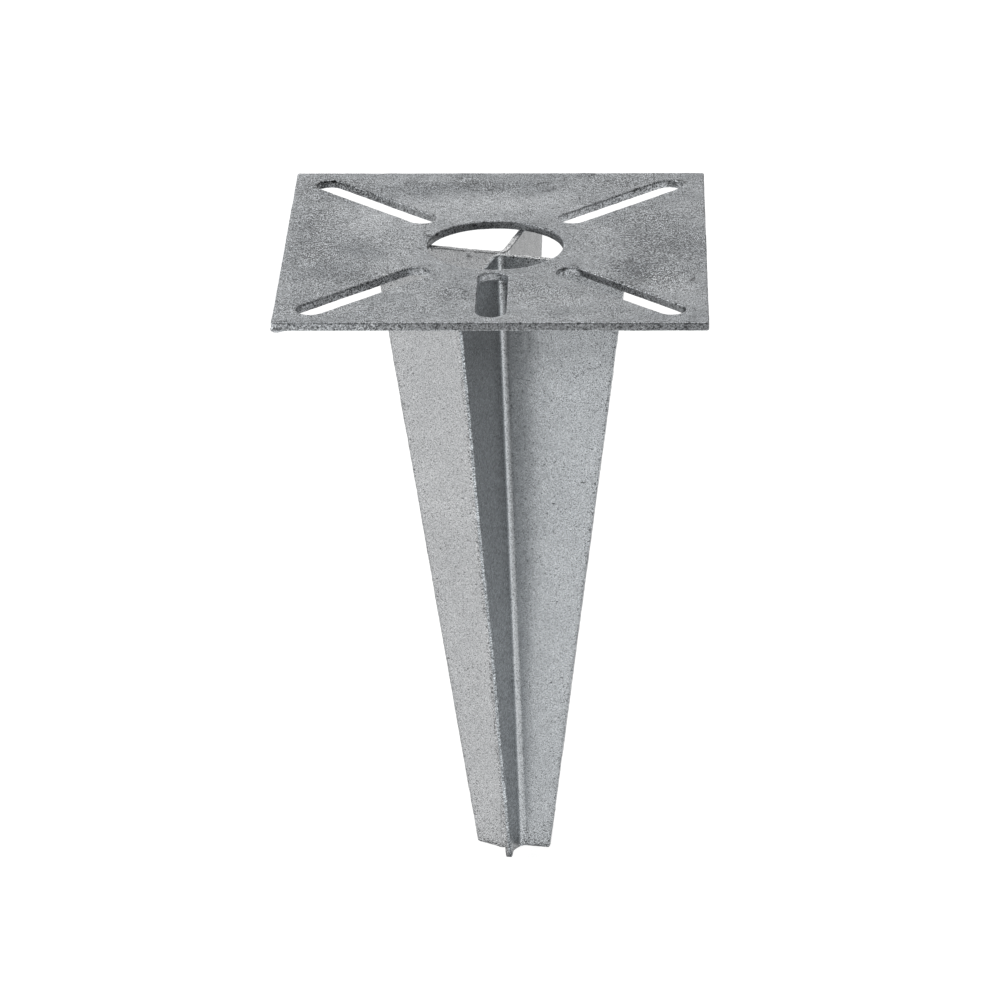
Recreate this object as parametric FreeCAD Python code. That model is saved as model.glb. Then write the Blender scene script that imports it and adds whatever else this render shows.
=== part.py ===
import FreeCAD, Part
import math
import os

# Ground spike with a flange plate, in millimetres.
# +Z is up, the origin is the centre of the plate's top face, +X is right and -Y is the front.
# Two sheets, each bent to 90 degrees, stand back to back under the plate, so that their legs form
# a cross of four fins that narrow towards the tip. Welds join them to the plate and to each other.

# Flange plate
PLATE_SIDE = 155.0
PLATE_T = 3.2
PLATE_CORNER_R = 1.0
HOLE_R = 25.0

# Four slots along the plate's diagonals, given by the distance of their arc centres from the middle
SLOT_W = 10.5
SLOT_NEAR = 39.8
SLOT_FAR = 90.8
DIAGONALS_DEG = (45.0, 135.0, 225.0, 315.0)

# One slot on the plate's centre line, towards the front
FRONT_SLOT_W = 10.8
FRONT_SLOT_NEAR = 33.3
FRONT_SLOT_FAR = 66.4
FRONT_DEG = 270.0

# Bent blade: fin widths are measured from the axis of its frame, heights from the plate's underside
SHEET_T = 2.5
BEND_IN_R = 2.2
BEND_OUT_R = BEND_IN_R + SHEET_T
BACK_OFFSET = 1.4
FIN_TOP_W = 50.1
FIN_TIP_W = 12.4

# Height at the bend, and how much higher the bottom edge is at the outer end of each fin
FRONT_BLADE_H = 244.3
FRONT_TIP_RISE = 0.2
REAR_BLADE_H = 246.2
REAR_TIP_RISE = 1.5

# Placement of the two blades under the plate: the front one leans a little, as it was welded
CROSS_TURN_DEG = 14.8
FRONT_BLADE_AT = (0.2, -0.45)
FRONT_BLADE_LEAN_DEG = 1.5
REAR_BLADE_AT = (2.8, 0.75)
REAR_BLADE_LEAN_DEG = 0.0

# Fillet weld around the outer end of each fin, under the plate
FIN_WELD_LEG = 2.5
FIN_WELD_FROM = 37.0
FIN_WELD_PAST_END = 0.8

# Weld runs in the two grooves beside the bends, as depths of their upper ends under the plate
SEAM_WELD_DEPTHS = (14.0, 112.0, 219.8)
SEAM_WELD_LENGTH = 24.0
SEAM_WELD_REACH = 0.8
SEAM_WELD_BULGE = 0.7

OVERSIZE = 10.0
SAME_POINT = 1e-6
UNDERSIDE_Z = -PLATE_T
BEND_CENTRE = BEND_OUT_R - BACK_OFFSET

V = FreeCAD.Vector
Z_AXIS = V(0, 0, 1)
X_LEG = V(1, 0, 0)
Y_LEG = V(0, -1, 0)


def radial_slot(angle_deg, near, far, width):
    """Round-ended cutter through the plate, from near to far along one radius."""
    depth = PLATE_T + 2 * OVERSIZE
    bar = Part.makeBox(far - near, width, depth, V(near, -width / 2, -depth / 2))
    ends = [Part.makeCylinder(width / 2, depth, V(x, 0, -depth / 2)) for x in (near, far)]
    slot = bar.fuse(ends).removeSplitter()
    slot.rotate(V(), Z_AXIS, angle_deg)
    return slot


def fillet_upright_edge(box, x, y, radius):
    """Round the one vertical edge of a box that passes through (x, y)."""
    edges = [
        e for e in box.Edges
        if all(math.hypot(v.X - x, v.Y - y) < SAME_POINT for v in e.Vertexes)
    ]
    return box.makeFillet(radius, edges)


def make_plate():
    half = PLATE_SIDE / 2
    plate = Part.makeBox(PLATE_SIDE, PLATE_SIDE, PLATE_T, V(-half, -half, UNDERSIDE_Z))
    for x, y in ((half, half), (-half, half), (-half, -half), (half, -half)):
        plate = fillet_upright_edge(plate, x, y, PLATE_CORNER_R)
    cuts = [radial_slot(a, SLOT_NEAR, SLOT_FAR, SLOT_W) for a in DIAGONALS_DEG]
    cuts.append(radial_slot(FRONT_DEG, FRONT_SLOT_NEAR, FRONT_SLOT_FAR, FRONT_SLOT_W))
    cuts.append(Part.makeCylinder(HOLE_R, PLATE_T, V(0, 0, UNDERSIDE_Z)))
    return plate.cut(Part.makeCompound(cuts))


def prism(points, sweep):
    """Closed polygon swept along a vector."""
    return Part.Face(Part.makePolygon(points + points[:1])).extrude(sweep)


def fin_outline(height, rise):
    """Width and height pairs around one fin, reaching above the plate's underside."""
    taper = (FIN_TOP_W - FIN_TIP_W) / height
    return [
        (-OVERSIZE, OVERSIZE),
        (FIN_TOP_W + taper * OVERSIZE, OVERSIZE),
        (FIN_TIP_W, -height + rise),
        (0.0, -height),
        (-OVERSIZE, -height),
    ]


def make_blade(height, rise):
    """Bent sheet in its own frame, with one leg towards +X and one towards -Y."""
    far = FIN_TOP_W + OVERSIZE
    tall = height + OVERSIZE
    blocks = []
    for inset, radius in ((0.0, BEND_OUT_R), (SHEET_T, BEND_IN_R)):
        x, y = inset - BACK_OFFSET, BACK_OFFSET - inset
        block = Part.makeBox(far, far, tall, V(x, y - far, -height))
        blocks.append(fillet_upright_edge(block, x, y, radius))
    angle = blocks[0].cut(blocks[1])
    outline = fin_outline(height, rise)
    x_leg_limits = prism([V(w, -far, z) for w, z in outline], V(0, 2 * far, 0))
    y_leg_limits = prism([V(-far, -w, z) for w, z in outline], V(2 * far, 0, 0))
    return angle.common(x_leg_limits).common(y_leg_limits).removeSplitter()


def blade_frame(at, lean_deg, turn_deg):
    """Frame of a blade: turned about Z, then leaned so that its tip moves to +X, then moved."""
    turn = FreeCAD.Rotation(Z_AXIS, turn_deg)
    lean = FreeCAD.Rotation(V(0, 1, 0), -lean_deg)
    return FreeCAD.Placement(V(at[0], at[1], UNDERSIDE_Z), lean.multiply(turn))


def place_blade(frame, height, rise):
    """Blade in its frame, trimmed flush with the plate's underside."""
    blade = make_blade(height, rise)
    blade.Placement = frame
    side = 2 * PLATE_SIDE
    above = Part.makeBox(side, side, side, V(-PLATE_SIDE, -PLATE_SIDE, UNDERSIDE_Z))
    return blade.cut(above)


def rectangle(leg, start, end, half_width, z):
    """Closed outline along one leg of a blade, centred on the leg's thickness."""
    across = V(-leg.y, leg.x, 0)
    middle = SHEET_T / 2 - BACK_OFFSET
    centre = V(middle, -middle, 0) - leg * leg.dot(V(middle, -middle, 0)) + Z_AXIS * z
    corners = ((start, -half_width), (end, -half_width), (end, half_width), (start, half_width))
    points = [centre + leg * along + across * aside for along, aside in corners]
    return Part.makePolygon(points + points[:1])


def fin_weld(leg, frame, blades):
    """Fillet weld down both sides and around the outer end of one fin."""
    half = SHEET_T / 2
    end = FIN_TOP_W + FIN_WELD_PAST_END
    top = rectangle(leg, FIN_WELD_FROM, end, half + FIN_WELD_LEG, 0.0)
    foot = rectangle(leg, FIN_WELD_FROM, FIN_TOP_W, half, -FIN_WELD_LEG)
    weld = Part.makeLoft([top, foot], True, True)
    weld.Placement = frame
    return weld.cut(blades)


def seam_weld(x_leg_frame, y_leg_frame, blades):
    """Weld runs in the groove between one blade's X leg and the other blade's Y leg."""
    runs = []
    for depth in SEAM_WELD_DEPTHS:
        z = -depth - SEAM_WELD_LENGTH
        toe_a = x_leg_frame.multVec(V(BEND_CENTRE, BACK_OFFSET, z))
        toe_b = y_leg_frame.multVec(V(-BACK_OFFSET, -BEND_CENTRE, z))
        axes = [f.multVec(V(BEND_CENTRE, -BEND_CENTRE, z)) for f in (x_leg_frame, y_leg_frame)]
        nearest = (axes[0] + axes[1]) / 2
        for point in (toe_a, toe_b, nearest):
            point.z = UNDERSIDE_Z + z
        outwards = (toe_b - toe_a).cross(Z_AXIS).normalize()
        crown = (toe_a + toe_b) / 2 + outwards * SEAM_WELD_BULGE
        root_a, root_b = (toe + (nearest - toe) * SEAM_WELD_REACH for toe in (toe_a, toe_b))
        outline = [
            Part.Arc(toe_a, crown, toe_b).toShape(),
            Part.makeLine(toe_b, root_b),
            Part.makeLine(root_b, root_a),
            Part.makeLine(root_a, toe_a),
        ]
        runs.append(Part.Face(Part.Wire(outline)).extrude(Z_AXIS * SEAM_WELD_LENGTH).cut(blades))
    return Part.makeCompound(runs)


FRONT_TURN_DEG = -CROSS_TURN_DEG
REAR_TURN_DEG = 180.0 - CROSS_TURN_DEG
front_upright = blade_frame(FRONT_BLADE_AT, 0.0, FRONT_TURN_DEG)
rear_upright = blade_frame(REAR_BLADE_AT, 0.0, REAR_TURN_DEG)
front_frame = blade_frame(FRONT_BLADE_AT, FRONT_BLADE_LEAN_DEG, FRONT_TURN_DEG)
rear_frame = blade_frame(REAR_BLADE_AT, REAR_BLADE_LEAN_DEG, REAR_TURN_DEG)
front_blade = place_blade(front_frame, FRONT_BLADE_H, FRONT_TIP_RISE)
rear_blade = place_blade(rear_frame, REAR_BLADE_H, REAR_TIP_RISE)
both_blades = Part.makeCompound([front_blade, rear_blade])

parts = {
    "top_plate": make_plate(),
    "front_blade": front_blade,
    "rear_blade": rear_blade,
    "right_fin_weld": fin_weld(X_LEG, front_upright, both_blades),
    "front_fin_weld": fin_weld(Y_LEG, front_upright, both_blades),
    "left_fin_weld": fin_weld(X_LEG, rear_upright, both_blades),
    "back_fin_weld": fin_weld(Y_LEG, rear_upright, both_blades),
    "left_seam_welds": seam_weld(rear_frame, front_frame, both_blades),
    "right_seam_welds": seam_weld(front_frame, rear_frame, both_blades),
}

os.makedirs("parts", exist_ok=True)
for name, shape in parts.items():
    shape.exportStep(f"parts/{name}.step")
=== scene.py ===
import math
from functools import partial

import bpy
import numpy as np
from mathutils import Matrix, Vector, geometry, kdtree


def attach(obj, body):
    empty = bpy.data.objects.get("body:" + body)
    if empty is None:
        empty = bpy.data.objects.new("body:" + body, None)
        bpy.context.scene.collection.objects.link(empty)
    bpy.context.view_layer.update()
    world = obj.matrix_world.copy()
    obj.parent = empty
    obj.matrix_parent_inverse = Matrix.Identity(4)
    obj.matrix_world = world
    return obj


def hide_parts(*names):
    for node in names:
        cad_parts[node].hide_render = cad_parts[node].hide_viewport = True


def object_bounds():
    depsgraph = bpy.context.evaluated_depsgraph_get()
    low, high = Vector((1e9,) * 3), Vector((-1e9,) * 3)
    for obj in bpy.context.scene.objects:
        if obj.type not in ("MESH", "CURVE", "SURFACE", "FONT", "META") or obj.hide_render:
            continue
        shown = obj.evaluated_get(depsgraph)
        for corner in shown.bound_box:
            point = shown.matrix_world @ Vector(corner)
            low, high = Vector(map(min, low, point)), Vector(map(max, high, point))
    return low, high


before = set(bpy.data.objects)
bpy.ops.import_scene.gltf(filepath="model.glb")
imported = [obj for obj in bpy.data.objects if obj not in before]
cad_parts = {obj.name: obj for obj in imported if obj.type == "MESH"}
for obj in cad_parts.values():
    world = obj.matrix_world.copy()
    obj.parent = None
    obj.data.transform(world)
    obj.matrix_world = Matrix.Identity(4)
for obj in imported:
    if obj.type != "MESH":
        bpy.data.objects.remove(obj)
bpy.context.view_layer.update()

# A galvanised ground spike: a flange plate on two bent blades that form a cross, joined by welds.
# Lengths are millimetres in the CAD frame: +Z is up and -Y is the front. Meshes, the camera, the floor and
# the lamps are in metres.
MM = 0.001

# ---------------------------------------------------------------- sizes shared with the CAD
PLATE_SIDE, PLATE_T, PLATE_CORNER_R, HOLE_R = 155.0, 3.2, 1.0, 25.0
SLOT_W, SLOT_NEAR, SLOT_FAR = 10.5, 39.8, 90.8
FRONT_SLOT_W, FRONT_SLOT_NEAR, FRONT_SLOT_FAR = 10.8, 33.3, 66.4
SHEET_T, BEND_IN_R, BACK_OFFSET = 2.5, 2.2, 1.4
FIN_TOP_W, FIN_TIP_W = 50.1, 12.4
CROSS_TURN_DEG = 14.8

# The two blades: height at the bend, rise of the outer bottom corners, place under the plate, lean and turn
# in degrees, then how each one is deformed, how its zinc differs and where shade is painted on it
FRONT_BLADE = {
    "height": 244.3, "rise": 0.2, "at": (0.2, -0.45), "lean": 1.5, "turn": -CROSS_TURN_DEG,
    # Sideways waviness of the front fin's outer end: heights, then offsets
    "warp": ((-245, -185, -165, -140, -115, -80, -60, 0),
             (0.55, 0.50, 0.10, 0.10, 0.45, 0.45, 0.20, 0.20)),
    # Extra pitting under the plate, on the fin along +X of the blade's own frame
    "grain_under_plate": 0.6,
    # Rise of the front fin's bottom edge, by distance from the axis: the zinc hangs as a drip at the corner
    "bite": ((3.3, 6.0, 9.2, 10.9), (0.0, 0.85, 1.4, 0.0)),
    "lumps": [],
    # Painted shade, mostly deeper towards the plate: leg (-1 is the one along -Y),
    # inner face or not, heights, factors
    "painted_shade": [
        (-1, True, (-245, -160, -130, -100, -70, -50, -36, -20, -14, -8),
         (0.70, 0.69, 0.61, 0.53, 0.46, 0.43, 0.35, 0.32, 0.42, 0.60)),
        (1, True, (-75, -50, -36, -20, -12, 0), (1.0, 0.97, 0.79, 0.75, 0.68, 0.55)),
    ],
}
REAR_BLADE = {
    "height": 246.2, "rise": 1.5, "at": (2.8, 0.75), "lean": 0.0, "turn": 180.0 - CROSS_TURN_DEG,
    "warp": ((-245, 0), (0.0, 0.0)), "grain_under_plate": 0.1, "bite": ((0.0, 12.4), (0.0, 0.0)),
    # Zinc lumps: distance from the axis, height, radius, thickness
    "lumps": [(12.6, -1.2, 1.1, 0.6)],
    # Painted shade under the plate, on the outer faces of the back fin and the left fin
    "painted_shade": [(-1, False, (-50, -25, 0), (1.0, 0.5, 0.45)), (1, False, (-40, -12, 0), (1.0, 0.78, 0.72))],
}

# ---------------------------------------------------------------- mesh resolution
STEP = 0.6
GRID = 1.0
WELD_VOXEL = 0.32
# How far the grid stays away from an outline, in steps, and how much finer it is over the bends
GRID_GAP, BEND_GRID = 0.6, 0.7
# Rounding of the sheets' edges by the zinc, and of the fins' corners in the flat
EDGE_R = 0.55
FIN_CORNER_R = 0.9


# ---------------------------------------------------------------- noise
# Odd factors that scatter whole numbers over 32 bits
SCATTER_X, SCATTER_Y, SCATTER_Z, SCATTER = 374761393, 668265263, 1440662683, 1274126177
BITS_32 = 0xFFFFFFFF


def lattice(ix, iy, iz, seed):
    """Repeatable values from -1 to 1, one for each whole-number place."""
    h = ix * SCATTER_X + iy * SCATTER_Y + iz * SCATTER_Z + seed * SCATTER
    h = (h ^ (h >> 13)) & BITS_32
    h = (h * SCATTER) & BITS_32
    h = h ^ (h >> 16)
    return h / 2.0 ** 31 - 1.0


def noise(points, size, seed):
    """Smooth value noise from -1 to 1, with features about size millimetres across."""
    q = points / size
    cell = np.floor(q).astype(np.int64)
    f = q - cell
    f = f * f * (3.0 - 2.0 * f)
    total = np.zeros(len(points))
    for dx in (0, 1):
        for dy in (0, 1):
            for dz in (0, 1):
                w = np.abs(1 - dx - f[:, 0]) * np.abs(1 - dy - f[:, 1]) * np.abs(1 - dz - f[:, 2])
                total += w * lattice(cell[:, 0] + dx, cell[:, 1] + dy, cell[:, 2] + dz, seed)
    return total


def hump(x, centre, width):
    """Smooth hump from 0 to 1, with its peak at the centre."""
    return np.exp(-((x - centre) / width) ** 2)


# ---------------------------------------------------------------- outlines
# A corner isn't rounded if half its angle is over the first, or its arc would be shorter than the second
NEARLY_STRAIGHT = math.radians(85)
TOO_SHORT = 1e-3
# Points tested against the outlines at a time
BATCH = 1500


def along(a, b):
    """Points from a up to but not including b, about STEP apart."""
    a, b = np.array(a, float), np.array(b, float)
    n = max(1, round(np.linalg.norm(b - a) / STEP))
    return [a + (b - a) * i / n for i in range(n)]


def arc(centre, radius, start, end):
    """Points round an arc from start up to but not including end, in radians."""
    n = max(5, round(abs(end - start) * radius / STEP))
    angles = [start + (end - start) * i / n for i in range(n)]
    return [np.array([centre[0] + radius * math.cos(t), centre[1] + radius * math.sin(t)]) for t in angles]


def rounded_polygon(corners, radius):
    """Closed outline with rounded corners, counter-clockwise."""
    out = []
    n = len(corners)
    for i in range(n):
        before, here, after = (np.array(corners[(i + k) % n], float) for k in (-1, 0, 1))
        a = (before - here) / np.linalg.norm(before - here)
        b = (after - here) / np.linalg.norm(after - here)
        half = math.acos(np.clip(a @ b, -1, 1)) / 2
        reach = radius / math.tan(half)
        if reach < TOO_SHORT or half > NEARLY_STRAIGHT:
            out.append([here])
            continue
        centre = here + (a + b) / np.linalg.norm(a + b) * radius / math.sin(half)
        p, q = here + a * reach - centre, here + b * reach - centre
        t0, t1 = math.atan2(p[1], p[0]), math.atan2(q[1], q[0])
        t1 += 2 * math.pi if t1 < t0 else 0.0
        steps = max(4, round((t1 - t0) * radius / (STEP / 2)))
        out.append([centre + radius * np.array([math.cos(t0 + (t1 - t0) * k / steps),
                                                math.sin(t0 + (t1 - t0) * k / steps)])
                    for k in range(steps + 1)])
    points = []
    for i in range(n):
        points += out[i]
        points += along(out[i][-1], out[(i + 1) % n][0])[1:]
    return np.array(points)


def stadium(angle_deg, near, far, width):
    """Round-ended slot outline along a radius, clockwise."""
    r = width / 2
    points = along((near, r), (far, r)) + arc((far, 0), r, math.pi / 2, -math.pi / 2)
    points += along((far, -r), (near, -r)) + arc((near, 0), r, -math.pi / 2, -1.5 * math.pi)
    t = math.radians(angle_deg)
    return np.array(points) @ np.array([[math.cos(t), math.sin(t)], [-math.sin(t), math.cos(t)]])


def inside(points, loops):
    """True for points in the material: an odd number of crossings with all the loops."""
    a = np.concatenate(loops)
    b = np.concatenate([np.roll(loop, -1, axis=0) for loop in loops])
    odd = np.zeros(len(points), bool)
    for k in range(0, len(points), BATCH):
        p = points[k:k + BATCH, None, :]
        spans = (a[None, :, 1] > p[..., 1]) != (b[None, :, 1] > p[..., 1])
        rise = np.where(b[:, 1] == a[:, 1], 1.0, b[:, 1] - a[:, 1])
        x = a[None, :, 0] + (p[..., 1] - a[None, :, 1]) * ((b[:, 0] - a[:, 0]) / rise)[None]
        odd[k:k + BATCH] = (spans & (x > p[..., 0])).sum(1) % 2 == 1
    return odd


# ---------------------------------------------------------------- sheet builder
def edge_profile(thickness):
    """Inset and height pairs over a zinc-rounded edge, from the top face to the bottom face."""
    turn = [math.radians(a) for a in (0, 22.5, 45, 67.5, 90)]
    upper = [(EDGE_R * (1 - math.sin(a)), thickness / 2 - EDGE_R * (1 - math.cos(a))) for a in turn]
    wall = [(0.0, h) for h in np.linspace(upper[-1][1], -upper[-1][1], 5)[1:-1]]
    return upper + wall + [(d, -h) for d, h in reversed(upper)]


def inward_normals(loop):
    """Unit directions into the material at each point of an outline."""
    tangent = np.roll(loop, -1, axis=0) - np.roll(loop, 1, axis=0)
    tangent /= np.linalg.norm(tangent, axis=1)[:, None]
    return np.stack([-tangent[:, 1], tangent[:, 0]], 1)


def grid_within(grid_points, inner_loops):
    """Grid points inside the outlines and clear of them, and their distances from the outlines."""
    border = np.concatenate(inner_loops)
    tree = kdtree.KDTree(len(border))
    for i, p in enumerate(border):
        tree.insert((p[0], p[1], 0.0), i)
    tree.balance()
    grid_points = grid_points[inside(grid_points, inner_loops)]
    gap = np.array([tree.find((p[0], p[1], 0.0))[2] for p in grid_points])
    clear = gap > GRID_GAP * STEP
    return grid_points[clear], gap[clear]


def fill(inner_loops, grid_points):
    """Triangles between the outlines, as numbers of the outlines' points, then of the grid's."""
    flat = np.concatenate(inner_loops + [grid_points])
    links, start = [], 0
    for loop in inner_loops:
        ids = np.arange(start, start + len(loop))
        links += np.column_stack([ids, np.roll(ids, -1)]).tolist()
        start += len(loop)
    _, _, tris, origin, _, _ = geometry.delaunay_2d_cdt([Vector(p) for p in flat], links, [], 0, 1e-6)
    given = np.array([sources[0] for sources in origin])
    tris = given[np.array(tris)]
    return tris[inside(flat[tris].mean(1), inner_loops)]


def sheet(name, loops, thickness, place, relief, grid_points, paint):
    """Sheet with rounded edges: loops are its outlines in the flat, place maps (u, v, height) to space."""
    profile = edge_profile(thickness)
    rows, inner_loops, uvh, dist = [], [], [], []
    count = 0
    for loop in loops:
        inward = inward_normals(loop)
        ring = []
        for inset, height in profile:
            at = loop + inward * inset
            uvh.append(np.column_stack([at, np.full(len(at), height)]))
            dist.append(np.full(len(at), inset))
            ring.append(np.arange(count, count + len(at)))
            count += len(at)
        rows.append(ring)
        inner_loops.append(loop + inward * EDGE_R)
    faces = []
    for ring in rows:
        for upper, lower in zip(ring, ring[1:]):
            faces += np.column_stack([upper, lower, np.roll(lower, -1), np.roll(upper, -1)]).tolist()
    grid_points, gap = grid_within(grid_points, inner_loops)
    tris = fill(inner_loops, grid_points)
    for side, order in ((0, slice(None)), (-1, slice(None, None, -1))):
        ids = np.concatenate([ring[side] for ring in rows] + [np.arange(count, count + len(grid_points))])
        count += len(grid_points)
        uvh.append(np.column_stack([grid_points, np.full(len(grid_points), profile[side][1])]))
        dist.append(gap + EDGE_R)
        faces += ids[tris[:, order]].tolist()
    uvh, dist = np.concatenate(uvh), np.concatenate(dist)
    at = place(uvh)
    layers = paint(at, uvh, dist)
    at = at + vertex_normals(at, faces) * relief(at, uvh, dist)[:, None]
    return make_object(name, at, faces, layers)


def vertex_normals(at, faces):
    """Unit normals from the triangles and quadrilaterals around each vertex, larger ones counting more."""
    out = np.zeros_like(at)
    # Two lines over each face, from corner a to b and from c to d
    for size, (a, b, c, d) in ((3, (0, 1, 0, 2)), (4, (0, 2, 1, 3))):
        f = np.array([x for x in faces if len(x) == size])
        if len(f):
            n = np.cross(at[f[:, b]] - at[f[:, a]], at[f[:, d]] - at[f[:, c]])
            for k in range(size):
                np.add.at(out, f[:, k], n)
    return out / np.maximum(np.linalg.norm(out, axis=1), 1e-12)[:, None]


def make_object(name, at, faces, layers):
    """Mesh object with one painted value per vertex for each of the layers."""
    mesh = bpy.data.meshes.new(name)
    mesh.from_pydata((at * MM).tolist(), [], faces)
    mesh.validate()
    mesh.update()
    mesh.shade_smooth()
    for layer, values in layers.items():
        mesh.attributes.new(layer, "FLOAT", "POINT").data.foreach_set("value", values.astype(np.float32))
    piece = bpy.data.objects.new(name, mesh)
    bpy.context.scene.collection.objects.link(piece)
    return piece


# Height of an equilateral triangle with sides of 1
HEX_ROW = 0.866


def hex_grid(u0, u1, v0, v1, spacing):
    """Points in staggered rows over a rectangle."""
    rows = []
    for k, v in enumerate(np.arange(v0, v1, spacing * HEX_ROW)):
        row = np.arange(u0 + (k % 2) * spacing / 2, u1, spacing)
        rows.append(np.column_stack([row, np.full(len(row), v)]))
    return np.concatenate(rows)


# ---------------------------------------------------------------- zinc relief
# Waves of the zinc skin: height, size
ZINC_WAVES = ((0.045, 17.0), (0.028, 5.0), (0.012, 1.9))
# Rolled bead beside an edge: height, distance from the edge, width
ROLL_H, ROLL_INSET, ROLL_W = 0.03, 0.9, 0.8
LUMPS_REACH = 1.1


def zinc(at, dist, seed, edge_lumps):
    """Height of the zinc skin: slow waves, small ripples, a rolled bead and lumps along the edges."""
    waves = sum(height * noise(at, size, seed + k) for k, (height, size) in enumerate(ZINC_WAVES))
    near_edge = np.exp(-dist / LUMPS_REACH)
    roll = ROLL_H * hump(dist, ROLL_INSET, ROLL_W) * (1.0 + 0.8 * noise(at, 6.0, seed + 3))
    lumps = near_edge * edge_lumps * (noise(at, 3.4, seed + 4) + 0.7 * noise(at, 1.5, seed + 5))
    return waves + roll + lumps


# ---------------------------------------------------------------- flange plate
DIAGONALS_DEG, FRONT_DEG = (45, 135, 225, 315), 270
HALF_SIDE = PLATE_SIDE / 2
# Corners of a square with sides of 2, counter-clockwise
SQUARE = ((-1, -1), (1, -1), (1, 1), (-1, 1))
plate_corners = [(HALF_SIDE * x, HALF_SIDE * y) for x, y in SQUARE]
plate_loops = [rounded_polygon(plate_corners, PLATE_CORNER_R)]
plate_loops.append(np.array(arc((0, 0), HOLE_R, 2 * math.pi, 0.0)))
plate_loops += [stadium(a, SLOT_NEAR, SLOT_FAR, SLOT_W) for a in DIAGONALS_DEG]
plate_loops.append(stadium(FRONT_DEG, FRONT_SLOT_NEAR, FRONT_SLOT_FAR, FRONT_SLOT_W))

PLATE_SEED = 11
PLATE_EDGE_LUMPS = 0.06
# Zinc lumps and pits on the plate's top: x, y, radius, height
PLATE_LUMPS = [
    (34.0, 74.0, 1.8, -0.30), (53.0, 57.0, 1.8, -0.30), (27.5, -25.5, 2.2, 0.40), (31.5, -28.5, 1.8, 0.28),
    (-74.5, -75.0, 3.0, 0.30), (-24.5, 11.0, 1.8, 0.30), (-25.5, -27.0, 1.8, 0.25), (43.0, -44.0, 1.3, 0.30),
    (66.5, 67.0, 1.8, -0.30), (-64.0, 66.5, 1.8, -0.30), (-59.5, 64.5, 1.5, 0.30),
]
# Ring-shaped ridges left by runs of zinc: x, y, radius across, radius along, height
PLATE_RINGS = [
    (17.5, 62.0, 3.6, 4.2, 0.16), (34.0, 75.0, 2.2, 2.6, 0.14), (53.0, 57.5, 2.0, 4.0, 0.16),
    (65.5, 65.0, 4.4, 4.6, 0.16), (-63.0, 65.0, 5.0, 4.2, 0.14), (-25.5, -27.5, 3.2, 3.8, 0.16),
    (27.5, -26.5, 3.6, 4.4, 0.18), (-24.0, 12.0, 2.2, 3.4, 0.12), (-8.0, 62.0, 5.0, 3.6, 0.10),
    (-14.0, -46.0, 3.6, 2.8, 0.12), (69.0, -33.0, 3.6, 6.0, 0.13), (48.0, -40.0, 2.4, 2.8, 0.11),
    (-44.0, -58.0, 4.2, 2.4, 0.10), (61.0, 28.0, 2.8, 4.4, 0.10), (-69.0, 34.0, 2.6, 4.0, 0.10),
]
# Half widths of the ridges and of their dark outlines, how uneven they are, and the finer grid around them
RIDGE_HALF_W, OUTLINE_HALF_W = 0.7, 0.42
RING_WOBBLE = 0.34
RING_GRID, RING_MARGIN = 0.55, 1.2
# Drip under the front left corner: x, y, radius across, radius along, height
CORNER_DRIP = (-75.5, -76.8, 2.2, 1.6, 0.75)
# Lighter clouds and, below 0, darker ones: x, y, radius across, radius along, tone
PLATE_CLOUDS = [
    (-5.0, 40.0, 26.0, 9.0, 0.75), (10.0, 45.0, 20.0, 6.0, 0.45), (-48.0, 26.0, 9.0, 15.0, 0.95),
    (-48.0, -6.0, 8.0, 8.0, -0.75), (-60.0, -30.0, 8.0, 12.0, -0.70), (-72.0, 10.0, 5.0, 26.0, -0.45),
    (-20.0, 60.0, 26.0, 6.0, -0.65), (10.0, 66.0, 18.0, 7.0, -0.45), (48.0, 40.0, 8.0, 10.0, -0.30),
    (64.0, -42.0, 9.0, 12.0, 0.65), (50.0, -25.0, 6.0, 12.0, -0.65), (70.0, 0.0, 6.0, 22.0, -0.30),
    (38.0, 8.0, 8.0, 14.0, 0.25), (-34.0, -8.0, 6.0, 16.0, 0.35), (-38.0, -42.0, 14.0, 8.0, 0.35),
    (30.0, -56.0, 20.0, 8.0, 0.25), (-66.0, -68.0, 10.0, 5.0, 0.35), (-10.0, -68.0, 30.0, 4.0, -0.30),
    (60.0, -68.0, 14.0, 5.0, -0.40), (-60.0, 50.0, 10.0, 8.0, -0.35), (0.0, 74.0, 70.0, 3.0, -0.30),
]
# Areas with many small dark pits: x, y, radius across, radius along, amount
PLATE_PITTING = [
    (-66.0, 0.0, 12.0, 60.0, 0.75), (-48.0, -30.0, 12.0, 14.0, 0.70), (-15.0, 62.0, 34.0, 9.0, 0.80),
    (60.0, 5.0, 20.0, 40.0, 0.80), (40.0, 68.0, 24.0, 8.0, 0.60), (52.0, -30.0, 10.0, 16.0, 0.75),
    (18.0, -50.0, 18.0, 16.0, 0.45), (-14.0, -48.0, 9.0, 8.0, 0.60), (-62.0, 60.0, 14.0, 14.0, 0.70),
    (-40.0, 0.0, 14.0, 14.0, 0.45), (-50.0, -66.0, 26.0, 9.0, 0.50), (-30.0, -32.0, 9.0, 8.0, 0.45),
]
# How far the painted brightness of the walls reaches over an edge, and the painted highlight along the edge
WALL_REACH, ARRIS_INSET, ARRIS_W, ARRIS_HIGHLIGHT_GAIN = 0.12, 0.25, 0.16, 0.3
# Brightness of the slots' walls, partly darker zinc and partly painted shade: behind and in front of
# this Y on each side, then beside the hole in front
BACK_SLOTS_Y = 15
RIGHT_SLOTS, LEFT_SLOTS, BESIDE_HOLE = (0.78, 0.42), (0.46, 0.62), 0.85
# Brightness of the hole's wall at its middle, partly darker zinc and partly painted shade, and the change
# from there to its right
HOLE_WALL, HOLE_WALL_CHANGE = 0.55, 0.15
# Brightness of the plate's rim, and the gains at its left end and at the drip
RIM_WALL, LEFT_GAIN, DRIP_GAIN = 0.43, 0.36, 0.3
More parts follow.
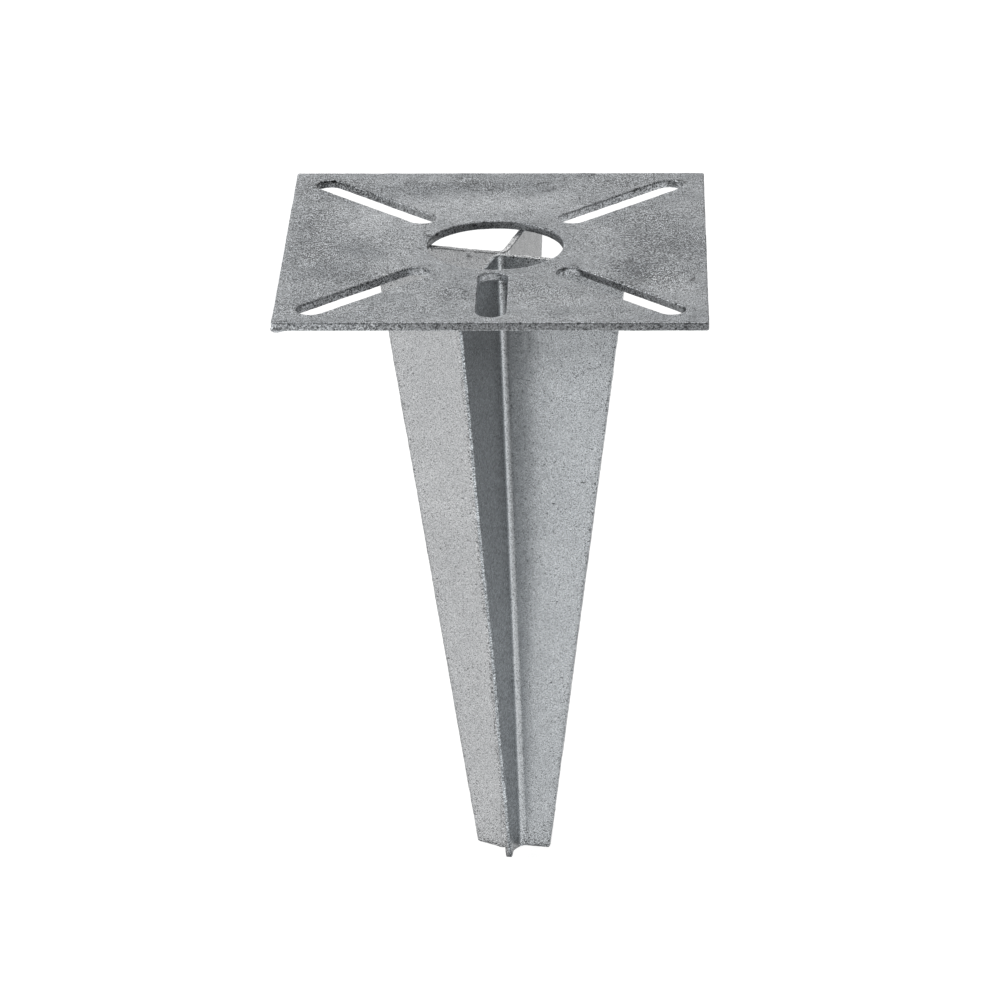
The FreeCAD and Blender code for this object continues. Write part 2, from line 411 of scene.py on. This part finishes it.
# X where the left end starts, and over what length it grows
LEFT_END_X, LEFT_END_LENGTH = -20.0, 30.0
# X and Y of the middle of the drip's brighter zinc, and how far it fades
DRIP_AT, DRIP_FADE = -76.0, 3.0
# Strength of the dark outlines around the ridges, and the most that they darken
OUTLINE_GAIN, OUTLINE_MOST = 4.5, 0.6
# Crystals on the plate's rim: on all of it, and more at its left end
RIM_CRYSTALS, LEFT_CRYSTALS = 0.35, 0.5
PITTING_MOST = 1.2


def ragged(values, at, seed):
    """Values shifted by noise, so that what is painted with them has ragged borders."""
    return values + 3.0 * noise(at, 9.0, seed) + 1.2 * noise(at, 3.5, seed + 1)


def blobs(at, table):
    """Sum of soft ellipses, with ragged borders."""
    x, y = ragged(at[:, 0], at, 5), ragged(at[:, 1], at, 7)
    total = np.zeros(len(at))
    for cx, cy, rx, ry, amount in table:
        total += amount * np.exp(-((x - cx) / rx) ** 2 - ((y - cy) / ry) ** 2)
    return total


def rings(at, half_width):
    """Height of the ring-shaped ridges, or with a narrow half width of their outlines."""
    wobble = RING_WOBBLE * noise(at, 3.2, 9)
    total = np.zeros(len(at))
    for cx, cy, rx, ry, height in PLATE_RINGS:
        r = np.hypot((at[:, 0] - cx) / rx, (at[:, 1] - cy) / ry) + wobble
        total += height * np.exp(-((r - 1.0) * (rx + ry) / 2 / half_width) ** 2)
    return total


def plate_grid():
    """Even grid over the plate, finer around the ring-shaped ridges."""
    grid = hex_grid(-HALF_SIDE, HALF_SIDE, -HALF_SIDE, HALF_SIDE, GRID)
    patches = []
    for cx, cy, rx, ry, _ in PLATE_RINGS:
        rx, ry = rx + RING_MARGIN, ry + RING_MARGIN
        grid = grid[(np.abs(grid[:, 0] - cx) > rx) | (np.abs(grid[:, 1] - cy) > ry)]
        patches.append(hex_grid(cx - rx, cx + rx, cy - ry, cy + ry, RING_GRID))
    return np.concatenate([grid] + patches)


def plate_place(uvh):
    """The plate lies flat, with its top face at height 0."""
    return np.column_stack([uvh[:, 0], uvh[:, 1], uvh[:, 2] - PLATE_T / 2])


def plate_relief(at, uvh, dist):
    """Zinc on the plate: its skin, lumps and ridges on the top, and a drip under one corner."""
    height = zinc(at, dist, PLATE_SEED, PLATE_EDGE_LUMPS)
    upper = uvh[:, 2] > 0
    for x, y, r, h in PLATE_LUMPS:
        height += h * np.exp(-((at[:, 0] - x) ** 2 + (at[:, 1] - y) ** 2) / (r * r)) * upper
    height += rings(at, RIDGE_HALF_W) * upper
    x, y, rx, ry, h = CORNER_DRIP
    drip = np.exp(-((at[:, 0] - x) / rx) ** 2 - ((at[:, 1] - y) / ry) ** 2)
    return height + h * drip * (uvh[:, 2] < -PLATE_T / 4)


def slot_and_hole_walls(x, y):
    """Brightness of the walls inside the plate's outline: partly darker zinc, partly painted shade."""
    back, middle = y > BACK_SLOTS_Y, np.hypot(x, y)
    shade = np.where(x > 0, np.where(back, *RIGHT_SLOTS), np.where(back, *LEFT_SLOTS))
    shade = np.where((middle < SLOT_NEAR) & (y < 0), BESIDE_HOLE, shade)
    hole_shade = HOLE_WALL + HOLE_WALL_CHANGE * np.clip(x / HOLE_R, -1, 1)
    return np.where(middle < HOLE_R + 1.0, hole_shade, shade)


def plate_paint(at, uvh, dist):
    """Painted layers of the plate: rim crystals, clouds, pitting, painted shade and highlight, outlines."""
    x, y, upper = at[:, 0], at[:, 1], uvh[:, 2] > 0
    tone = blobs(at, PLATE_CLOUDS)
    tone = tone + 0.25 * noise(at, 13.0, PLATE_SEED + 10) + 0.20 * noise(at, 5.0, PLATE_SEED + 11)
    pitting = blobs(at, PLATE_PITTING) + 0.25 * noise(at, 11.0, PLATE_SEED + 12)
    outside = np.maximum(np.abs(x), np.abs(y)) > HALF_SIDE - 2.0
    wall = hump(dist, 0.0, WALL_REACH)
    left_end = np.clip((LEFT_END_X - x) / LEFT_END_LENGTH, 0.0, 1.0)
    left_end = left_end * (0.75 + 0.25 * noise(at, 7.0, PLATE_SEED + 13))
    rim_shade = RIM_WALL + LEFT_GAIN * left_end
    rim_shade = rim_shade + DRIP_GAIN * np.exp(-np.hypot(x - DRIP_AT, y - DRIP_AT) / DRIP_FADE)
    shade = 1.0 - wall * (1.0 - np.where(outside, rim_shade, slot_and_hole_walls(x, y)))
    # Painted highlight along the top of each edge
    arris_highlight = hump(dist, ARRIS_INSET, ARRIS_W) * upper
    shade += ARRIS_HIGHLIGHT_GAIN * arris_highlight * (1.0 + 0.5 * noise(at, 2.0, PLATE_SEED + 15))
    broken = 0.6 + 1.8 * noise(at, 1.8, PLATE_SEED + 14)
    shade -= np.clip(OUTLINE_GAIN * rings(at, OUTLINE_HALF_W) * broken, 0.0, OUTLINE_MOST) * upper
    rim = wall * np.where(outside, RIM_CRYSTALS + LEFT_CRYSTALS * left_end, 0.0)
    return {"rim": rim, "tone": tone, "pitting": np.clip(pitting, 0.0, PITTING_MOST), "shade": shade}


plate = sheet("flange_plate_skin", plate_loops, PLATE_T, plate_place, plate_relief,
              plate_grid(), plate_paint)
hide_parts("top_plate")

# ---------------------------------------------------------------- bent blades
bend_mid_r = BEND_IN_R + SHEET_T / 2
bend_centre = BEND_IN_R + SHEET_T - BACK_OFFSET
bend_half = bend_mid_r * math.pi / 4

BLADE_EDGE_LUMPS = 0.08
# Height of the band that holds the bottom edge's points, and of the one with thicker zinc at the tip
BOTTOM_BAND, TIP_BAND = 3.0, 9.0
# How far these painted zones fade: from the edges, from the tip, from the bottom edge, from the plate
EDGE_ZONE, TIP_ZONE, BOTTOM_ZONE, UNDER_PLATE_ZONE = 3.0, 10.0, 1.8, 45.0
# Painted shade along the bend's inner face, towards the +X leg: heights, then darkening
FOLD_SHADE = ((-190, -110, -40, 0), (0.0, 0.3, 0.55, 0.55))
# Darkening of a blade's walls on its +X and -Y legs, and of its bottom edge on its -Y leg and elsewhere
WALL_DARK, BOTTOM_DARK = (0.30, 0.12), (0.60, 0.38)
# Gains of the painted glint along the bend's inner face, and of the painted highlight
# on the top edges seen in the hole
GLINT_GAIN, TOP_EDGE_HIGHLIGHT_GAIN = 0.25, 0.6
# How cool the leaning blade's inner face is at the bend and on the +X leg, with 1 on the -Y leg
COOL_REST = 0.6


def blade_frame(blade):
    """Matrix of a blade's own frame: turned, leaned, then moved under the plate."""
    turn = Matrix.Rotation(math.radians(blade["turn"]), 4, "Z")
    lean = Matrix.Rotation(math.radians(-blade["lean"]), 4, "Y")
    shift = Matrix.Translation((blade["at"][0], blade["at"][1], -PLATE_T))
    return np.array(shift @ lean @ turn)


def bent(u):
    """Middle line of the bent sheet and its outward normal, in the blade's frame, for flat positions u."""
    t = math.radians(135) - np.clip(u, -bend_half, bend_half) / bend_mid_r
    normal = np.column_stack([np.cos(t), np.sin(t)])
    at = np.array([bend_centre, -bend_centre]) + normal * bend_mid_r
    at[:, 0] += np.maximum(u - bend_half, 0.0)
    at[:, 1] += np.minimum(u + bend_half, 0.0)
    return at, normal


def fin_u(width):
    """Flat position of a point that is width from the frame's axis along a leg."""
    return bend_half + width - bend_centre


def blade_outline(blade, matrix):
    """Flat outline of a blade, trimmed along the plate's underside, with the bite in its bottom edge."""
    height, rise = blade["height"], blade["rise"]
    tilt = math.tan(math.radians(blade["lean"]))
    taper = (FIN_TOP_W - FIN_TIP_W) / height

    def top(u):
        at, _ = bent(np.array([u]))
        return -(at[0] @ matrix[0, :2]) * tilt

    top_right, top_left = top(fin_u(FIN_TOP_W)), top(-fin_u(FIN_TOP_W))
    corners = [
        (-fin_u(FIN_TIP_W), -height + rise), (-bend_half, -height), (bend_half, -height),
        (fin_u(FIN_TIP_W), -height + rise), (fin_u(FIN_TOP_W + taper * top_right), top_right),
        (bend_half, top(bend_half)), (0.0, top(0.0)), (-bend_half, top(-bend_half)),
        (-fin_u(FIN_TOP_W + taper * top_left), top_left),
    ]
    loop = rounded_polygon(corners, FIN_CORNER_R)
    low = loop[:, 1] < BOTTOM_BAND - height
    loop[low, 1] += np.interp(bend_centre - bend_half - loop[low, 0], *blade["bite"])
    return loop


def blade_relief(blade, seed, at, uvh, dist):
    """Zinc on a blade: its skin, thicker zinc at the tip, and lumps."""
    skin = zinc(at, dist, seed, BLADE_EDGE_LUMPS)
    tip = np.clip((-uvh[:, 1] - blade["height"] + TIP_BAND) / TIP_BAND, 0.0, 1.0)
    skin += tip * np.exp(-dist / 1.4) * (0.08 + 0.10 * noise(at, 2.6, seed + 9))
    for width, v, r, h in blade["lumps"]:
        skin += h * np.exp(-((uvh[:, 0] - fin_u(width)) ** 2 + (uvh[:, 1] - v) ** 2) / (r * r))
    return skin


def blade_paint(blade, seed, at, uvh, dist):
    """Painted layers of a blade: rim crystals, clouds, pitting, painted shade and highlights, a cool tint.
    """
    u, v, inner = uvh[:, 0], uvh[:, 1], uvh[:, 2] < 0
    height, leaning = blade["height"], blade["lean"] > 0
    edge, tip = np.exp(-dist / EDGE_ZONE), np.exp((-height - v) / TIP_ZONE)
    bitten = np.where(u < -bend_half, max(blade["bite"][1]) + 0.6, 0.0)
    lower_edge = np.exp(-np.maximum(v + height - bitten, 0.0) / BOTTOM_ZONE)
    tone = 0.10 * noise(at, 26.0, seed + 10) + 0.10 * noise(at, 6.0, seed + 11)

    under_plate = np.exp(v / UNDER_PLATE_ZONE) * (u > 0) * blade["grain_under_plate"]
    pitting = 0.10 + 0.15 * noise(at, 18.0, seed + 12) + 0.25 * edge + 0.6 * tip + under_plate
    pitting += lower_edge + np.where(u < -bend_half, 0.5, 0.2) * hump(dist, 0.0, 0.8)

    wall = hump(dist, 0.0, 0.6) * (v < -6.0)
    wall_dark = np.where(u > 0, *WALL_DARK) + 0.10 * noise(at, 4.0, seed + 13)
    shade = 1.0 - wall * wall_dark - 0.15 * tip * edge
    # Painted shade on the +X side of the bend's inner face, deepest near the plate
    fold_shade = hump(u / bend_half, 0.75, 0.45) * inner
    # Painted glint near the middle of the bend's inner face
    glint = hump(u / bend_half, -0.15, 0.35) * inner
    shade *= 1.0 - fold_shade * np.interp(v, *FOLD_SHADE) + GLINT_GAIN * glint
    shade *= 1.0 - lower_edge * np.where(u < -bend_half, *BOTTOM_DARK)
    # Painted highlight along the top edges of the fins seen in the hole
    shade *= 1.0 + np.where((u > 0) == leaning, TOP_EDGE_HIGHLIGHT_GAIN, 0.0) * hump(dist, 0.0, 0.5) * (v > -2.0)
    # Painted shade from the blade's table, on the faces of its legs
    for side, on_inner, depths, factors in blade["painted_shade"]:
        zone = (u * side > bend_half) & (inner == on_inner) & (dist > 0.3)
        shade *= np.where(zone, np.interp(v, depths, factors), 1.0)

    cool = np.where(u > -bend_half, COOL_REST, 1.0) * inner * leaning
    rim = 0.35 * wall + 0.3 * tip * edge
    pitting = np.clip(pitting, 0.0, PITTING_MOST)
    return {"rim": rim, "tone": tone, "pitting": pitting, "shade": shade, "cool": cool}


def blade_sheet(name, blade, node, seed):
    """One bent blade: worked out in the flat, then bent, warped and placed."""
    matrix = blade_frame(blade)
    height = blade["height"]

    def place(uvh):
        at, normal = bent(uvh[:, 0])
        warp = np.interp(uvh[:, 1], *blade["warp"])
        warp *= np.clip(-uvh[:, 0] / np.interp(uvh[:, 1], (-height, 0.0), (FIN_TIP_W, FIN_TOP_W)), 0.0, 1.0)
        at = at + normal * (uvh[:, 2] + warp)[:, None]
        local = np.column_stack([at, uvh[:, 1], np.ones(len(at))])
        return (local @ matrix.T)[:, :3]

    reach = fin_u(FIN_TOP_W) + 2.0
    bottom, top, bend_reach = -height - 2.0, 4.0, bend_half + 1.0
    grid = hex_grid(-reach, reach, bottom, top, GRID)
    bend_grid = hex_grid(-bend_reach, bend_reach, bottom, top, GRID * BEND_GRID)
    grid = np.concatenate([grid[np.abs(grid[:, 0]) > bend_reach], bend_grid])
    relief, paint = partial(blade_relief, blade, seed), partial(blade_paint, blade, seed)
    piece = sheet(name, [blade_outline(blade, matrix)], SHEET_T, place, relief, grid, paint)
    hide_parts(node)
    return piece


front_blade = blade_sheet("front_blade_skin", FRONT_BLADE, "front_blade", 31)
rear_blade = blade_sheet("rear_blade_skin", REAR_BLADE, "rear_blade", 57)


# ---------------------------------------------------------------- weld beads
SMOOTH_FACTOR, SMOOTH_ROUNDS = 0.5, 4
RIPPLE_H, RIPPLE_PITCH = 0.10, 1.7
BEAD_SWELL, BEAD_ROUGHNESS = 0.10, 0.10
WELD_SEED = 71


def bead(name, node, axis, seed):
    """Rippled weld bead grown from a CAD weld node."""
    copy = bpy.data.objects.new(name + "_base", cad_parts[node].data.copy())
    bpy.context.scene.collection.objects.link(copy)
    remesh = copy.modifiers.new("voxels", "REMESH")
    remesh.mode = "VOXEL"
    remesh.voxel_size = WELD_VOXEL * MM
    soft = copy.modifiers.new("soft", "SMOOTH")
    soft.factor, soft.iterations = SMOOTH_FACTOR, SMOOTH_ROUNDS
    bpy.context.view_layer.update()
    made = bpy.data.meshes.new_from_object(copy.evaluated_get(bpy.context.evaluated_depsgraph_get()))
    bpy.data.objects.remove(copy)
    at = np.array([v.co for v in made.vertices]) / MM
    faces = [list(p.vertices) for p in made.polygons]
    bpy.data.meshes.remove(made)
    run = at @ (np.array(axis, float) / np.linalg.norm(axis))
    ripple = RIPPLE_H * np.sin(run * 2 * math.pi / RIPPLE_PITCH + 1.5 * noise(at, 3.0, seed))
    height = BEAD_SWELL + ripple + BEAD_ROUGHNESS * noise(at, 1.6, seed + 1)
    layers = {"rim": np.full(len(at), 0.1), "tone": 0.4 * noise(at, 4.0, seed + 2)}
    layers |= {"pitting": np.full(len(at), 0.4), "shade": np.full(len(at), 0.95)}
    piece = make_object(name, at + vertex_normals(at, faces) * height[:, None], faces, layers)
    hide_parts(node)
    return piece


turn = math.radians(CROSS_TURN_DEG)
right_dir = (math.cos(turn), -math.sin(turn), 0.0)
back_dir = (math.sin(turn), math.cos(turn), 0.0)
up_dir = (0, 0, 1)
# Piece, CAD node and the direction it runs in
WELDS = (
    ("right_fin_bead", "right_fin_weld", right_dir), ("left_fin_bead", "left_fin_weld", right_dir),
    ("front_fin_bead", "front_fin_weld", back_dir), ("back_fin_bead", "back_fin_weld", back_dir),
    ("left_seam_beads", "left_seam_welds", up_dir), ("right_seam_beads", "right_seam_welds", up_dir),
)
beads = [bead(*weld, WELD_SEED + 2 * k) for k, weld in enumerate(WELDS)]


# ---------------------------------------------------------------- materials
class Nodes:
    """Small helper to write a material's node tree. Its methods return sockets, except finish."""

    def __init__(self, name):
        self.material = bpy.data.materials.new(name)
        self.material.use_nodes = True
        self.tree = self.material.node_tree
        self.tree.nodes.clear()
        self.where = self.add("ShaderNodeTexCoord").outputs["Object"]

    def add(self, kind, **settings):
        """New node with its settings."""
        node = self.tree.nodes.new(kind)
        for key, value in settings.items():
            setattr(node, key, value)
        return node

    def link(self, source, socket):
        """Join a socket to a source, which is another socket, a number or a colour."""
        if isinstance(source, (int, float, tuple)):
            socket.default_value = source
        else:
            self.tree.links.new(source, socket)

    def stretched(self, x, y, z):
        """Object coordinates, scaled along each axis."""
        node = self.add("ShaderNodeMapping")
        node.inputs["Scale"].default_value = (x, y, z)
        self.link(self.where, node.inputs["Vector"])
        return node.outputs["Vector"]

    def noise(self, size_mm, detail=2.0, roughness=0.5, vector=None, distortion=0.0):
        """Noise from 0 to 1, with features about size_mm across."""
        node = self.add("ShaderNodeTexNoise")
        self.link(vector or self.where, node.inputs["Vector"])
        node.inputs["Scale"].default_value = 1.0 / (size_mm * MM)
        node.inputs["Detail"].default_value = detail
        node.inputs["Roughness"].default_value = roughness
        node.inputs["Distortion"].default_value = distortion
        return node.outputs["Fac"]

    def cells(self, size_mm):
        """A random colour in each of many small cells."""
        node = self.add("ShaderNodeTexVoronoi")
        self.link(self.where, node.inputs["Vector"])
        node.inputs["Scale"].default_value = 1.0 / (size_mm * MM)
        return node.outputs["Color"]

    def maths(self, kind, a, b=0.0, c=0.0, clamp=False):
        """One arithmetic step on sockets or numbers."""
        node = self.add("ShaderNodeMath", operation=kind, use_clamp=clamp)
        for value, socket in zip((a, b, c), node.inputs):
            self.link(value, socket)
        return node.outputs[0]

    def fit(self, source, low, high, to_low=0.0, to_high=1.0):
        """Smooth step: to_low where the source is at low, to_high where it is at high."""
        node = self.add("ShaderNodeMapRange", interpolation_type="SMOOTHSTEP")
        self.link(source, node.inputs["Value"])
        for key, value in zip(("From Min", "From Max", "To Min", "To Max"), (low, high, to_low, to_high)):
            node.inputs[key].default_value = value
        return node.outputs["Result"]

    def mix(self, factor, a, b, blend="MIX"):
        """Colour a, with the factor's share of b mixed or multiplied in."""
        node = self.add("ShaderNodeMix", data_type="RGBA", blend_type=blend)
        self.link(factor, node.inputs[0])
        self.link(a, node.inputs[6])
        self.link(b, node.inputs[7])
        return node.outputs[2]

    def bump(self, height, distance_mm, strength, below=None):
        """Normal from a height map, on top of another one."""
        node = self.add("ShaderNodeBump")
        node.inputs["Strength"].default_value = strength
        node.inputs["Distance"].default_value = distance_mm * MM
        self.link(height, node.inputs["Height"])
        if below:
            self.link(below, node.inputs["Normal"])
        return node.outputs["Normal"]

    def attribute(self, name):
        """One of the layers painted on the mesh, or 0 where the mesh has none."""
        return self.add("ShaderNodeAttribute", attribute_name=name).outputs["Fac"]

    def finish(self, colour, roughness, metallic, normal, glow=0.0):
        """The material, with its surface and an even glow."""
        shader = self.add("ShaderNodeBsdfPrincipled")
        self.link(colour, shader.inputs["Base Color"])
        self.link(roughness, shader.inputs["Roughness"])
        self.link(metallic, shader.inputs["Metallic"])
        self.link(normal, shader.inputs["Normal"])
        shader.inputs["Emission Color"].default_value = (1.0, 1.0, 1.0, 1.0)
        shader.inputs["Emission Strength"].default_value = glow
        out = self.add("ShaderNodeOutputMaterial")
        self.tree.links.new(shader.outputs["BSDF"], out.inputs["Surface"])
        return self.material


def grey(value, tint=0.0):
    """Grey with a cool (negative) or warm (positive) tint."""
    return (value * (1 + tint), value, value * (1 - tint), 1.0)


# Factor on the colour of the leaning blade's inner face
COOL_STEEL = (0.955, 1.0, 1.03, 1.0)
# Factors on a material's tone for its dark clouds, light clouds, pits and outlines
DARK_CLOUD, LIGHT_CLOUD, PIT_TONE, OUTLINE_TONE = 0.70, 1.26, 0.22, 0.25
CLOUD_TINT = 0.012
# Noise level at which the outlines of the zinc runs lie
CONTOUR_LEVEL = 0.60
METALLIC = 0.9
# Shares of the pits, of the streaks among them, and of the bright crystals, whose grey follows
PIT_SHARE, STREAK_SHARE, BRIGHT_SHARE, BRIGHT_GREY = 0.85, 0.7, 0.6, 0.9


def cloudy_grey(n, tone, tint, mottle):
    """Grey that follows the painted clouds, with two sizes of mottle."""
    clouds = n.fit(n.attribute("tone"), -1.2, 1.2, 0.0, 1.0)
    dark, light = grey(tone * DARK_CLOUD, tint - CLOUD_TINT), grey(tone * LIGHT_CLOUD, tint + CLOUD_TINT)
    colour = n.mix(clouds, dark, light)
    for size, spread in ((7.0, mottle), (1.9, 1.2 * mottle)):
        level = n.fit(n.noise(size, 2.0, 0.6), 0.32, 0.68, 1.0 - spread, 1.0 + spread)
        colour = n.mix(1.0, colour, level, "MULTIPLY")
    return colour


def add_grain(n, colour, amount, grain, coarse, fine, fine_mm):
    """Two sizes of dark grain, deeper where the pitting is."""
    depth = n.maths("MULTIPLY_ADD", amount, 0.7, 0.6)
    for size, low, high, share in ((0.80, 0.30, 0.56, coarse), (fine_mm, 0.34, 0.60, fine)):
        level = n.fit(n.noise(size, 0.0, 0.5, vector=grain), low, high, -1.0, 0.7)
        level = n.maths("MULTIPLY_ADD", level, n.maths("MULTIPLY", depth, share), 1.0)
        colour = n.mix(1.0, colour, level, "MULTIPLY")
    return colour


def pit_mask(n, amount, pit_level):
    """Round pits and short streaks, where the noise and the painted pitting together pass the level."""
    pits = n.noise(0.75, 1.0, 0.5, vector=n.stretched(0.75, 0.75, 1.0))
    pits = n.fit(n.maths("MULTIPLY_ADD", amount, 0.10, pits), pit_level, pit_level + 0.05)
    streaks = n.noise(1.7, 3.0, 0.65, vector=n.stretched(0.6, 1.1, 1.0), distortion=0.3)
    streaks = n.fit(n.maths("MULTIPLY_ADD", amount, 0.09, streaks), pit_level - 0.01, pit_level + 0.07)
    return n.maths("MAXIMUM", pits, n.maths("MULTIPLY", streaks, STREAK_SHARE), clamp=True)


def contour_mask(n, amount):
    """Thin broken outlines, as zinc runs leave, where the painted pitting is high."""
    contour = n.noise(5.5, 2.0, 0.6, distortion=0.8)
    contour = n.maths("ABSOLUTE", n.maths("SUBTRACT", contour, CONTOUR_LEVEL))
    contour = n.maths("MULTIPLY", n.fit(contour, 0.008, 0.028, 1.0, 0.0), n.fit(amount, 0.35, 0.85))
    return n.maths("MULTIPLY", contour, n.fit(n.noise(1.1, 1.0, 0.5), 0.42, 0.58))


def galvanised(name, tone, tint, mottle, coarse, fine, fine_mm, pit_level, rough, outlines=0.0):
    """Dull hot-dip zinc: painted clouds and pitting, mottle, fine grain, crystals on the rims.

    coarse, fine and outlines are strengths, fine_mm is the finer grain's size, and a higher pit_level
    leaves fewer pits.
    """
    n = Nodes(name)
    amount, rim, cool = n.attribute("pitting"), n.attribute("rim"), n.attribute("cool")
    grain = n.stretched(1.15, 0.6, 1.0)
    colour = add_grain(n, cloudy_grey(n, tone, tint, mottle), amount, grain, coarse, fine, fine_mm)
    dark = pit_mask(n, amount, pit_level)
    colour = n.mix(n.maths("MULTIPLY", dark, PIT_SHARE), colour, grey(tone * PIT_TONE, tint))
    contour = n.maths("MULTIPLY", contour_mask(n, amount), outlines)
    colour = n.mix(contour, colour, grey(tone * OUTLINE_TONE, tint))
    bright = n.fit(n.noise(0.7, 1.0, 0.5, vector=grain), 0.75, 0.80)
    colour = n.mix(n.maths("MULTIPLY", bright, BRIGHT_SHARE), colour, grey(BRIGHT_GREY))
    crystal = n.fit(n.cells(0.55), 0.05, 0.95, 0.35, 1.75)
    colour = n.mix(rim, colour, n.mix(1.0, colour, crystal, "MULTIPLY"))
    # Painted brightness from the mesh: painted shade, painted highlights and the zinc's darker outlines
    colour = n.mix(1.0, colour, n.attribute("shade"), "MULTIPLY")
    speckle = n.fit(n.noise(0.5, 1.0, 0.5, vector=n.stretched(0.4, 0.25, 1.0)), 0.32, 0.64, 0.62, 1.34)
    grainy = n.fit(cool, 0.7, 1.0)
    colour = n.mix(grainy, colour, n.mix(1.0, colour, speckle, "MULTIPLY"))
    colour = n.mix(cool, colour, n.mix(1.0, colour, COOL_STEEL, "MULTIPLY"))
    roughness = n.fit(n.noise(3.2, 3.0, 0.6), 0.3, 0.7, rough - 0.05, rough + 0.05)
    relief = n.bump(n.noise(2.4, 3.0, 0.55), 0.05, 0.3)
    relief = n.bump(n.noise(0.6, 2.0, 0.6), 0.03, 0.4, relief)
    relief = n.bump(n.maths("SUBTRACT", 1.0, dark), 0.12, 0.8, relief)
    relief = n.bump(n.maths("MULTIPLY", speckle, grainy), 0.08, 0.6, relief)
    return n.finish(colour, roughness, METALLIC, relief)


plate_zinc = galvanised(
    "galvanised_plate", tone=0.486, tint=-0.040, mottle=0.08, coarse=0.16, fine=0.80, fine_mm=0.42,
    pit_level=0.620, rough=0.42, outlines=0.9)
blade_zinc = galvanised(
    "galvanised_blade", tone=0.447, tint=-0.020, mottle=0.004, coarse=0.00, fine=0.66, fine_mm=0.26,
    pit_level=0.72, rough=0.26)
weld_zinc = galvanised(
    "galvanised_weld", tone=0.42, tint=-0.020, mottle=0.05, coarse=0.10, fine=0.60, fine_mm=0.38,
    pit_level=0.70, rough=0.38)

coated = [(plate, plate_zinc, "galvanised_steel")]
coated += [(blade, blade_zinc, "galvanised_steel") for blade in (front_blade, rear_blade)]
coated += [(run, weld_zinc, "galvanised_weld") for run in beads]
for piece, material, slot in coated:
    piece.data.materials.append(material)
    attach(piece, "root")

# ---------------------------------------------------------------- camera, at the product view's angle
# Focal length over the sensor's width, angles in radians, and offsets from the origin along its own axes
LENS_OVER_FRAME = 5.0236
CAM_YAW, CAM_PITCH, CAM_ROLL = -0.0291285, 0.4126485, -0.0113378
CAM_DISTANCE, CAM_RIGHT, CAM_UP = 1845.84, 1.714, -93.72
SENSOR_WIDTH = 36.0
CLIP_START, CLIP_END = 0.05, 30.0
cy, sy, cp, sp = math.cos(CAM_YAW), math.sin(CAM_YAW), math.cos(CAM_PITCH), math.sin(CAM_PITCH)
forward = Vector((sy * cp, cy * cp, -sp))
level = Vector((cy, -sy, 0.0))
raised = level.cross(forward)
right = math.cos(CAM_ROLL) * level + math.sin(CAM_ROLL) * raised
up = -math.sin(CAM_ROLL) * level + math.cos(CAM_ROLL) * raised
camera_data = bpy.data.cameras.new("camera")
camera_data.sensor_width = SENSOR_WIDTH
camera_data.lens = LENS_OVER_FRAME * SENSOR_WIDTH
camera_data.clip_start, camera_data.clip_end = CLIP_START, CLIP_END
camera = bpy.data.objects.new("camera", camera_data)
place = (-CAM_DISTANCE * forward + CAM_RIGHT * right + CAM_UP * up) * MM
camera.matrix_world = Matrix.Translation(place) @ Matrix((right, up, -forward)).transposed().to_4x4()
bpy.context.scene.collection.objects.link(camera)
bpy.context.scene.camera = camera

# ---------------------------------------------------------------- floor and light
FLOOR_REACH, FLOOR_GLOW = 6.0, 0.92
WORLD_STRENGTH = 0.2
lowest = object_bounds()[0].z
floor_mesh = bpy.data.meshes.new("floor")
floor_corners = [(FLOOR_REACH * x, FLOOR_REACH * y, lowest) for x, y in SQUARE]
floor_mesh.from_pydata(floor_corners, [], [(0, 1, 2, 3)])
floor = bpy.data.objects.new("floor", floor_mesh)
bpy.context.scene.collection.objects.link(floor)
paper = Nodes("pale_floor")
pale = paper.fit(paper.noise(60.0, 2.0, 0.5), 0.3, 0.7, 0.34, 0.36)
grain = paper.bump(paper.noise(4.0), 0.05, 0.1)
floor_mesh.materials.append(paper.finish(pale, 0.9, 0.0, grain, glow=FLOOR_GLOW))

world = bpy.data.worlds.new("studio")
bpy.context.scene.world = world
world.use_nodes = True
background = world.node_tree.nodes["Background"]
background.inputs["Color"].default_value = (1.0, 1.0, 1.0, 1.0)
background.inputs["Strength"].default_value = WORLD_STRENGTH

# Side of each light panel, its distance from the point that it is aimed at, and that point
PANEL_SIZE, PANEL_DISTANCE = 1.4, 2.2
PANEL_AIM = Vector((0.0, 0.0, -0.1))
# Name, azimuth and elevation in degrees, and power in watts of each panel
PANELS = (
    ("key_left", -75, 20, 21.0), ("overhead", 0, 90, 8.0),
    ("back_left", -155, 20, 1.6), ("back", 180, 22, 4.5),
)


def softbox(name, azimuth, elevation, power):
    """Square light panel aimed at the object, azimuth measured from the front towards the right."""
    a, e = math.radians(azimuth), math.radians(elevation)
    away = Vector((math.sin(a) * math.cos(e), -math.cos(a) * math.cos(e), math.sin(e)))
    data = bpy.data.lights.new(name, "AREA")
    data.shape = "SQUARE"
    data.size = PANEL_SIZE
    data.energy = power
    lamp = bpy.data.objects.new(name, data)
    lamp.location = away * PANEL_DISTANCE + PANEL_AIM
    lamp.rotation_mode = "QUATERNION"
    lamp.rotation_quaternion = away.to_track_quat("Z", "Y")
    bpy.context.scene.collection.objects.link(lamp)


for panel in PANELS:
    softbox(*panel)

bpy.context.scene.view_settings.view_transform = "Standard"
